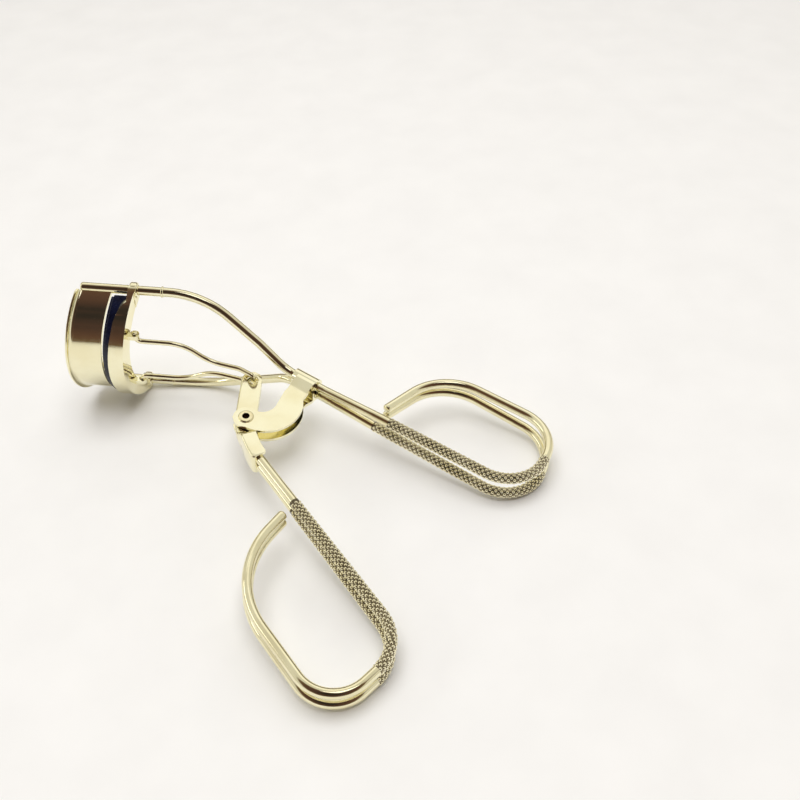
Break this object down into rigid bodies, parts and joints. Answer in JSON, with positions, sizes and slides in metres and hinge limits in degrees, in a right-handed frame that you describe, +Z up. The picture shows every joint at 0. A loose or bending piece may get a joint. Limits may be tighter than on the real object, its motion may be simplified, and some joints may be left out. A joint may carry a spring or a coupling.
{
  "type": "eyelash curler",
  "caption": "Hand-held eyelash curler of bent wire: curved front plate, sliding padded jaw on posts, riveted lever with push wire, finger and thumb loops.",
  "frame": {"origin": "centre of the bounding box's footprint, on the table plane, with the tool lying on its side", "axes": "+X from the jaws towards the handles, +Z up from the table, +Y away from the thumb loop"},
  "size_m": [0.1182, 0.098, 0.0366],
  "materials": {
    "gold_wire": "polished pale gold plate over steel wire, grips stamped with a bead pattern",
    "gold_sheet": "polished pale gold plate over folded steel sheet",
    "rivet": "polished pale gold plate on a rolled tubular rivet",
    "silicone": "smooth satin navy-black silicone"
  },
  "bodies": {
    "frame": {"frame_wire_left": "gold_wire", "frame_wire_right": "gold_wire", "collar_bracket": "gold_sheet", "front_plate": "gold_sheet", "pivot_rivet": "rivet"},
    "lever": {"lever": "gold_sheet", "lever_wire_left": "gold_wire", "lever_wire_right": "gold_wire"},
    "jaw": {"jaw": "gold_sheet", "silicone_pad": "silicone"},
    "push_link": {"push_wire": "gold_wire"}
  },
  "joints": [
    {"name": "lever_hinge", "type": "hinge", "parent": "frame", "child": "lever", "pos_m": [-0.0136, 0.02, 0.0126], "axis": [-0.1128, 0.0854, -0.9899], "range_deg": [-2.2, 22.8]},
    {"name": "jaw_slide", "type": "slide", "parent": "frame", "child": "jaw", "axis": [0.9936, 0, -0.1132], "range_m": [-0.0005, 0.0051]},
    {"name": "push_wire_hinge", "type": "hinge", "parent": "jaw", "child": "push_link", "pos_m": [-0.04214, 0.03823, 0.01742], "axis": [-0.1128, 0.0854, -0.9899], "range_deg": [-1, 3]}
  ],
  "couplings": [
    {"joint": "jaw_slide", "follows": "lever_hinge", "m_per_rad": 0.0128},
    {"joint": "push_wire_hinge", "follows": "lever_hinge", "ratio": 0.068}
  ]
}
